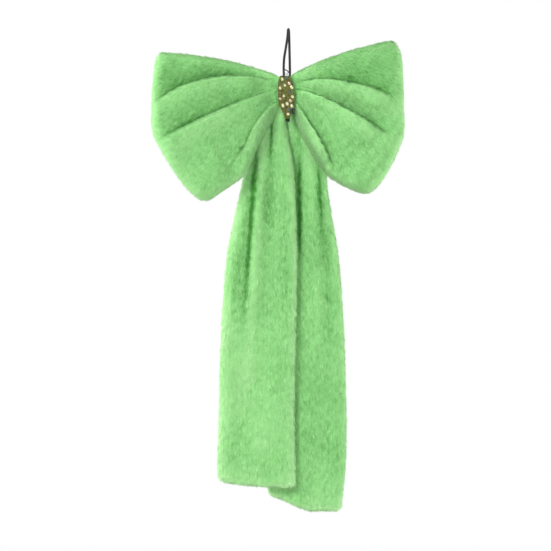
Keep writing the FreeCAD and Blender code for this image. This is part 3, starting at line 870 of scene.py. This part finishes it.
class BowSizes(PropertyGroup):
    """Sizes of the soft parts that a user would change."""
    loop_depth: length_of("Loop Depth", "Height of a loop's front over its seam", 0.0110)
    tail_thickness: length_of("Tail Thickness", "Thickness of a tail without its pile", 0.0105)
    pile_length: length_of("Pile Length", "Length of a tuft of pile", 0.0046)
    tuft_width: length_of("Tuft Width", "Width of a tuft at its root", 0.0012)
    loop_tufts: tufts_of("Loop Tufts", "each loop", 48000)
    tail_tufts: tufts_of("Tail Tufts", "each tail", 49000)
    knot_tufts: tufts_of("Knot Tufts", "each gathered lump of the middle", 5000)
    cord_diameter: length_of("Cord Diameter", "Diameter of the hanging cord", 0.0025)


class BowColours(PropertyGroup):
    """Colours of the bow."""
    # The pile's root colour is painted shade, for its roots and creases, and its tip colour is painted
    # light, for its tips and rims; the tone attribute mixes them with the main colour.
    pile_deep_painted_shade: colour_of("Pile Roots", "Colour at the roots of the pile", (0.045, 0.230, 0.030))
    pile_middle: colour_of("Pile", "Main colour of the pile", (0.290, 0.655, 0.238))
    pile_tip_painted_light: colour_of("Pile Tips", "Colour of the pile's bright tips", (0.520, 0.860, 0.420))
    base_low: colour_of("Band Shade", "Darker colour of the band's base", (0.045, 0.050, 0.008))
    base_high: colour_of("Band", "Lighter colour of the band's base", (0.13, 0.15, 0.025))
    stone_cream: colour_of("Cream Stones", "Colour of the cream crystals", (0.80, 0.80, 0.44))
    stone_rose: colour_of("Rose Stones", "Colour of the rose crystals", (0.76, 0.54, 0.38))
    stone_blue: colour_of("Blue Stones", "Colour of the blue-grey crystals", (0.07, 0.13, 0.11))
    stone_clear: colour_of("Clear Bead", "Colour of the clear bead", (0.62, 0.66, 0.68))


# ---------------------------------------------------------------- operators

class BOW_OT_stage(Operator):
    """Add the pale floor, the soft lights, the white surroundings and the camera"""
    bl_idname = "bow.stage"
    bl_label = "Stage"

    def execute(self, context):
        low, high = CAD_BOX
        centre = (low + high) / 2
        sides, radius, gap = 96, 0.95, 0.16
        turn = np.linspace(0.0, 2 * math.pi, sides, endpoint=False)
        rim = np.stack([radius * np.cos(turn), radius * np.sin(turn), np.full(sides, low.z - gap)], -1)
        floor = mesh_object("floor", np.concatenate([rim, rim - [0, 0, 0.01]]),
                            grid_faces(2, sides, wrap=True))
        cap = bpy.data.meshes.new("floor_top")
        cap.from_pydata(rim.tolist(), [], [list(range(sides))])
        top = add_object("floor_top", cap)
        pale, _, _ = new_material("Pale floor", {"Base Color": (0.8, 0.8, 0.8, 1), "Roughness": 0.8})
        for part in (floor, top):
            part.data.materials.append(pale)
        # Soft lamps: place and width in metres, power in watts.
        for label, place, width, power in (
                ("key", (-1.0, -1.7, 0.75), 0.8, 36.0), ("fill", (0.6, -2.4, -0.3), 1.4, 18.0),
                ("left_rim", (-1.5, 0.35, -0.1), 1.2, 22.0),
                ("right_rim", (1.5, 0.35, -0.3), 1.2, 18.0), ("back", (0.3, 1.6, 0.3), 1.4, 20.0)):
            lamp = bpy.data.lights.new(label, "AREA")
            lamp.shape, lamp.size, lamp.energy = "DISK", width, power
            holder = add_object(label, lamp)
            holder.location = place
            holder.rotation_euler = (centre - holder.location).to_track_quat("-Z", "Y").to_euler()
        world = bpy.data.worlds.new("White room")
        context.scene.world = world
        world.use_nodes = True
        tree = world.node_tree
        soft = tree.nodes["Background"]
        soft.inputs["Color"].default_value = (1, 1, 1, 1)
        soft.inputs["Strength"].default_value = 0.50
        bright = add_node(tree, "ShaderNodeBackground", {"Color": (1, 1, 1, 1), "Strength": 1.0})
        ray = add_node(tree, "ShaderNodeLightPath")
        both = add_node(tree, "ShaderNodeMixShader", {0: ray.outputs["Is Camera Ray"]})
        tree.links.new(soft.outputs[0], both.inputs[1])
        tree.links.new(bright.outputs[0], both.inputs[2])
        tree.links.new(both.outputs[0], tree.nodes["World Output"].inputs["Surface"])
        lens = bpy.data.cameras.new("camera")
        camera = add_object("camera", lens)
        distance, view_width = 3.0, 0.551
        view_x, view_z = -0.0130, -0.2450
        lens.sensor_width = 36.0
        lens.lens = lens.sensor_width * distance / view_width
        camera.location = (view_x, -distance, view_z)
        camera.rotation_euler = (math.pi / 2, 0.0, 0.0)
        context.scene.camera = camera
        context.scene.view_settings.view_transform = "Standard"
        return {"FINISHED"}


class BOW_OT_cord(Operator):
    """Add the hanging cord and its knot"""
    bl_idname = "bow.cord"
    bl_label = "Hanging Cord"

    def execute(self, context):
        sizes = context.scene.bow_sizes
        route = [
            (-4.5, 0.0, -47.8), (-5.4, 0.0, -33.0), (-2.3, -1.6, -15.5), (-0.9, -2.75, -6.0),
            (-0.4, -2.65, 1.25), (0.4, 2.65, 1.25), (0.7, 2.75, -6.5), (0.9, 1.4, -16.0),
            (1.3, 0.0, -33.0), (1.5, 0.0, -47.8),
        ]
        curve = bpy.data.curves.new("cord", "CURVE")
        curve.dimensions = "3D"
        curve.bevel_depth = sizes.cord_diameter / 2
        curve.bevel_resolution = 5
        curve.resolution_u = 14
        curve.use_fill_caps = True
        line = curve.splines.new("NURBS")
        line.points.add(len(route) - 1)
        for point, (x, y, z) in zip(line.points, route):
            point.co = (x * MM, y * MM, z * MM, 1.0)
        line.order_u = 3
        line.use_endpoint_u = True
        cord = add_object("hanging_cord_braid", curve)
        curve.materials.append(MATERIALS["cord"])
        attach(cord, "cord")
        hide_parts("hanging_cord")
        centre, half = box_middle("cord_knot")
        turns = 5
        angle = np.linspace(0.0, 2 * math.pi * turns, 40 * turns)
        across = np.linspace(-half[0] + 0.8, half[0] - 0.8, len(angle))
        path = np.stack([centre[0] + across, centre[1] + 1.3 * np.cos(angle),
                         centre[2] + 1.3 * np.sin(angle)], -1)
        knot = tube("cord_knot_turns", path, 0.95)
        finish_piece(knot, "cord", "cord", "cord", "cord_knot")
        return {"FINISHED"}


class BOW_OT_loops(Operator):
    """Add the two padded loops and their pile"""
    bl_idname = "bow.loops"
    bl_label = "Loops"

    def execute(self, context):
        sizes = context.scene.bow_sizes
        for side, sign, ribs, pleats, corner, seed in (
                ("left", -1, LEFT_RIBS, LEFT_PLEATS, 0.05, 11),
                ("right", 1, RIGHT_RIBS, RIGHT_PLEATS, 0.09, 31)):
            front, back, tone = loop_surface(ribs, pleats, corner, sizes, seed)
            cloth = fix_outside(shell(f"{side}_loop_cloth", front, back, tone))

            def outward(roots, normals):
                """Away from the pinch and downwards."""
                away = roots - np.array([0.0, roots[:, 1].mean(), -60.0])
                away[:, 1] = 0.0
                return unit(away) * 0.75 + [0.0, 0.0, -0.55]

            coat = pile(f"{side}_loop_pile", cloth, sizes.loop_tufts, outward, sizes, seed + 5)
            hinge = ("knot", f"{side}_loop",
                     (sign * 7.0, -5.5, PINCH_HEIGHT), (sign * 30.0, -5.5, PINCH_HEIGHT))
            parts = [f"{side}_loop_{part}" for part in ("front", "back", "wadding")]
            finish_piece(cloth, "cloth", "plush", hinge, *parts)
            finish_piece(coat, "pile", "plush", hinge)
        return {"FINISHED"}


class BOW_OT_tails(Operator):
    """Add the two hanging tails and their pile"""
    bl_idname = "bow.tails"
    bl_label = "Tails"

    def execute(self, context):
        sizes = context.scene.bow_sizes

        def downward(roots, normals):
            """Straight down the tail."""
            return np.tile([0.0, 0.0, -1.0], (len(roots), 1))

        # Each tail has its creases, the depth of its seam going down, the rise of its foot going
        # across, its flat size in metres, its tone, which is lower on the right tail as painted shade
        # where it lies behind the left, its painted shade at the neck, negative on the right tail for
        # painted light there, and its hinge's depth.
        tails = (
            ("left", LEFT_TAIL_EDGES,
             [(-32.0, -122.0, -205.0, -320.0, 6.5, -0.075, -1),
              (-16.3, -70.0, -108.0, -140.0, 2.2, -0.02, -1)],
             lambda down: -1.0 + 5.5 * smooth(0.02, 0.3, down),
             lambda across: 6.0 * (1 - across) ** 2 + 6.0 * np.exp(-across / 0.03)
             + 3.0 * np.exp(-(1 - across) / 0.03), (0.094, 0.395), 0.52, 0.2, 4.5, 51),
            ("right", RIGHT_TAIL_EDGES,
             [(29.5, -130.0, -150.0, -215.0, 4.0, 0.05, 1),
              (11.5, -118.0, -195.0, -240.0, 2.6, 0.0, -1)],
             lambda down: 6.5 + 11.5 * smooth(0.02, 0.25, down),
             lambda across: 13.5 * (1.0 - smooth(0.05, 0.62, across)) + 12.0 * np.exp(-across / 0.03)
             + 3.0 * np.exp(-(1 - across) / 0.03), (0.094, 0.42), 0.46, -0.1, 15.0, 71),
        )
        for side, edges, creases, seam, corner, flat, main_tone, neck_painted_shade, depth, seed in tails:
            front, back, tone = tail_surface(edges, creases, seam, sizes, corner, main_tone,
                                             neck_painted_shade, seed)
            cloth = fix_outside(shell(f"{side}_tail_cloth", front, back, tone))
            coat = pile(f"{side}_tail_pile", cloth, sizes.tail_tufts, downward, sizes, seed + 5,
                        (1.0, 1.0, 0.25))
            centre = (edges[2][1] + edges[2][2]) / 2
            hinge = ("knot", f"{side}_tail", (centre, depth, -82.0), (centre, depth, -118.0))
            finish_piece(cloth, "cloth", "plush", hinge, f"{side}_tail_front", f"{side}_tail_back")
            finish_piece(coat, "pile", "plush", hinge)
        return {"FINISHED"}


class BOW_OT_knot(Operator):
    """Add the gathered middle, the tail strip's fold, the felt patch and the binding"""
    bl_idname = "bow.knot"
    bl_label = "Gathered Middle"

    def execute(self, context):
        sizes = context.scene.bow_sizes

        def outward(roots, normals):
            """Away from the middle and downwards."""
            count = len(roots)
            return np.stack([np.sign(roots[:, 0]), np.zeros(count), np.full(count, -0.8)], -1)

        gathers = 9
        for node, grow_low, grow_high, power, seed in (
                ("waist_gather", (-3.0, 0.5, 1.0), (3.0, 2.0, 2.5), 0.6, 91),
                ("tail_fold", (-2.5, 1.0, -6.5), (2.5, 1.9, 8.0), 0.46, 95)):
            low, high = box_mm(node)
            cloth = fix_outside(lump(f"{node}_cloth", low + grow_low, high + grow_high, power,
                                     gathers, seed))
            coat = pile(f"{node}_pile", cloth, sizes.knot_tufts, outward, sizes, seed + 2)
            finish_piece(cloth, "cloth", "plush", "knot", node)
            finish_piece(coat, "pile", "plush", "knot")
        low, high = box_mm("back_patch")
        centre, half = (low + high) / 2, (high - low) / 2

        def hug(points):
            """Draw the patch's border forwards onto the cloth, by the fourth power of the way out
            sideways and the sixth power of the way out upwards."""
            out = np.abs((points - centre) / half)
            points[:, 1] -= 0.9 * out[:, 0] ** 4 + 2.4 * out[:, 2] ** 6
            return points

        patch = fix_outside(lump("back_patch_felt", low, high, 0.32, 0, 97))
        points = hug(read_vectors(patch.data.vertices, "co") / MM)
        patch.data.vertices.foreach_set("co", (points * MM).ravel())
        patch.data.update()
        finish_piece(patch, "felt", "felt", "knot", "back_patch")
        inset, count = 1.8, 34
        angle = np.linspace(0.0, 2 * math.pi, count, endpoint=False)
        across, up = np.cos(angle), np.sin(angle)
        rim = centre + np.stack([(half[0] - inset) * np.sign(across) * np.abs(across) ** 0.45,
                                 np.full(count, half[1] + 0.15),
                                 (half[2] - inset) * np.sign(up) * np.abs(up) ** 0.45], -1)
        stitches = turned([(0.2, -0.35), (0.5, -0.15), (0.55, 0.3)], 8, hug(rim), np.zeros(count),
                          "back_patch_stitches", squeeze=np.full(count, 1.5))
        finish_piece(fix_outside(stitches), "cloth", "felt", "knot")

        # The wire's way round the pinch, as (y, z) points.
        route = np.array([
            (-11.2, -66.0), (-11.0, -54.0), (-9.0, -47.2), (-4.0, -45.4), (0.0, -45.2), (4.0, -45.6),
            (8.0, -47.4), (16.0, -48.2), (21.5, -50.6), (23.6, -56.0), (24.1, -66.0), (23.4, -75.0),
            (18.0, -79.3), (6.0, -79.6), (-6.0, -79.6), (-10.4, -76.5),
        ])
        turns, steps = 3, 96
        knots = np.arange(turns * len(route) + 1)
        place = np.linspace(0.0, knots[-1], turns * steps)
        loops = through(knots, route[knots % len(route)], place)
        path = np.stack([np.linspace(-1.2, 1.2, len(place)), loops[:, 0], loops[:, 1]], -1)
        finish_wire(tube("binding_wire_turns", path, 0.4), "binding_wire")
        return {"FINISHED"}


class BOW_OT_band(Operator):
    """Add the band's base, its seed beads, the cups and the stones"""
    bl_idname = "bow.band"
    bl_label = "Jewelled Band"

    def execute(self, context):
        low, high = box_mm("band_base")
        crown, lean = 1.6, 2.6
        front, back = leaf_surface(low, high, crown, lean)
        base = fix_outside(shell("band_base_mesh", front, back, np.zeros(front.shape[:2])))
        finish_piece(base, "base", "bead_base", "knot", "band_base")
        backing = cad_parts["band_backing"]
        backing.data.materials.clear()
        backing.data.materials.append(MATERIALS["felt"])

        rng = np.random.default_rng(7)
        cups = solid_centres("stone_cups")
        face = low[1] + 0.7
        cut = [(1.0, -0.3), (1.5, 0.3), (1.4, 0.7), (1.0, 1.2), (0.5, 1.45)]
        for shade in ("cream", "rose", "blue"):
            centres = solid_centres("stones_" + shade)
            stretch, lean, width, turn = (rng.uniform(least, most, len(centres)) for least, most in (
                (1.05, 1.5), (0.15, 0.75), (0.88, 1.08), (0.0, 6.0)))
            placed = centres * [1, 0, 1] + [0, face - 0.35, 0]
            stones = [turned([(radius * width[k], forwards) for radius, forwards in cut], 9,
                             placed[k:k + 1], turn[k:k + 1], f"stone_{shade}_{k}",
                             squeeze=stretch[k:k + 1], leans=lean[k:k + 1])
                      for k in range(len(centres))]
            joined = join_pieces(f"stones_{shade}_cut", stones)
            finish_piece(fix_outside(joined), shade, f"{shade}_crystal", "knot", "stones_" + shade)
        seats = cups * [1, 0, 1] + [0, face, 0]
        cup_profile = [(1.0, -1.2), (1.5, -1.0), (1.72, 0.1), (1.66, 0.5), (1.4, 0.55), (1.2, 0.3)]
        turn, stretch, leans = (rng.uniform(least, most, len(seats)) for least, most in (
            (0.0, 6.0), (1.0, 1.3), (0.2, 0.7)))
        cup_piece = turned(cup_profile, 14, seats, turn, "stone_cups_gold", squeeze=stretch,
                           leans=leans)
        finish_piece(fix_outside(cup_piece), "cup", "cup_metal", "knot", "stone_cups")

        step, last_row = 1.45, len(front) - 1
        spots = []
        for number, up in enumerate(np.arange(high[2] - 0.8, low[2], -step * 0.87)):
            place = min(int((high[2] - up) / (high[2] - low[2]) * last_row), last_row)
            left, right = front[place, 0, 0] + 0.5, front[place, -1, 0] - 0.5
            for across in np.arange(left + (number % 2) * step / 2, right, step):
                gaps = (cups - [across, 0.0, up])[:, [0, 2]]
                if np.hypot(*gaps.T).min() > 1.9:
                    share = (across - left) / max(right - left, 1.0) * 2 - 1
                    depth = low[1] + crown * (1 - math.sqrt(max(0.0, 1 - share ** 2)))
                    spots.append((across, depth + 0.3, up))
        beads = turned([(0.3, -0.75), (0.65, -0.4), (0.75, 0.0), (0.65, 0.4), (0.3, 0.75)], 9,
                       np.array(spots) + rng.normal(0, 0.16, (len(spots), 3)),
                       np.zeros(len(spots)), "seed_beads_glass", smooth_faces=True)
        finish_piece(fix_outside(beads), "seed", "seed", "knot", "seed_beads")
        return {"FINISHED"}


class BOW_OT_wires(Operator):
    """Add the fine wire arc, the clear bead, the wire's curl and the knot at the band's foot"""
    bl_idname = "bow.wires"
    bl_label = "Wires"

    def execute(self, context):
        low, high = box_mm("wire_arc")
        centre = np.array([(low[0] + high[0]) / 2, (low[1] + high[1]) / 2, low[2] - 0.6])
        angle = np.linspace(0.0, math.pi, 40)
        radius = (high[0] - low[0]) / 2 - 0.2
        path = np.stack([centre[0] + radius * np.cos(angle), centre[1] + 0.5 * np.cos(2 * angle),
                         centre[2] + 5.4 * np.sin(angle) - 1.2 * np.sin(2 * angle)], -1)
        finish_wire(tube("wire_arc_bent", path, 0.55), "wire_arc")

        middle, half = box_middle("wire_curl")
        angle = np.linspace(-2.4, 3.4, 70)
        radius = 0.85 * half[0] * (1.0 + 0.06 * angle)
        path = np.stack([middle[0] + 0.8 * radius * np.cos(angle), middle[1] - 1.0 + 0.25 * angle,
                         middle[2] + 1.1 * radius * np.sin(angle)], -1)
        finish_wire(tube("wire_curl_bent", path, 0.44), "wire_curl")

        middle, _ = box_middle("clear_bead")
        clear = turned([(0.5, -1.3), (1.2, -0.8), (1.4, 0.0), (1.2, 0.8), (0.5, 1.3)], 12,
                       [middle], [0.0], "clear_bead_glass", smooth_faces=True)
        finish_piece(fix_outside(clear), "clear", "clear_crystal", "knot", "clear_bead")

        middle, _ = box_middle("wire_knot")
        angle = np.linspace(0.0, 6 * math.pi, 120)
        path = np.stack([middle[0] + 1.6 * np.cos(angle), middle[1] + 1.2 * np.sin(1.4 * angle),
                         middle[2] + 0.9 + 1.5 * np.sin(angle + 0.4) * np.cos(0.3 * angle)], -1)
        finish_wire(tube("wire_knot_tied", path, 0.65), "wire_knot")
        return {"FINISHED"}


class BOW_PT_panel(Panel):
    """The bow's parts, sizes and colours in the sidebar"""
    bl_label = "Plush Gift Bow"
    bl_idname = "BOW_PT_panel"
    bl_space_type = "VIEW_3D"
    bl_region_type = "UI"
    bl_category = "Plush Bow"

    def draw(self, context):
        column = self.layout.column()
        for operator in OPERATORS:
            column.operator(operator.bl_idname)
        for settings in (context.scene.bow_sizes, context.scene.bow_colours):
            for key in type(settings).__annotations__:
                column.prop(settings, key)


OPERATORS = (BOW_OT_stage, BOW_OT_cord, BOW_OT_loops, BOW_OT_tails, BOW_OT_knot, BOW_OT_band,
             BOW_OT_wires)
CLASSES = (BowSizes, BowColours, *OPERATORS, BOW_PT_panel)


def register():
    """Register the classes and hang the settings on the scene."""
    for one in CLASSES:
        bpy.utils.register_class(one)
    bpy.types.Scene.bow_sizes = PointerProperty(type=BowSizes)
    bpy.types.Scene.bow_colours = PointerProperty(type=BowColours)


def unregister():
    """Undo register."""
    del bpy.types.Scene.bow_colours
    del bpy.types.Scene.bow_sizes
    for one in reversed(CLASSES):
        bpy.utils.unregister_class(one)


def main():
    """Build the bow."""
    register()
    make_materials(bpy.context.scene.bow_colours)
    for part in ("stage", "cord", "loops", "tails", "knot", "band", "wires"):
        getattr(bpy.ops.bow, part)()


if __name__ == "__main__":
    main()
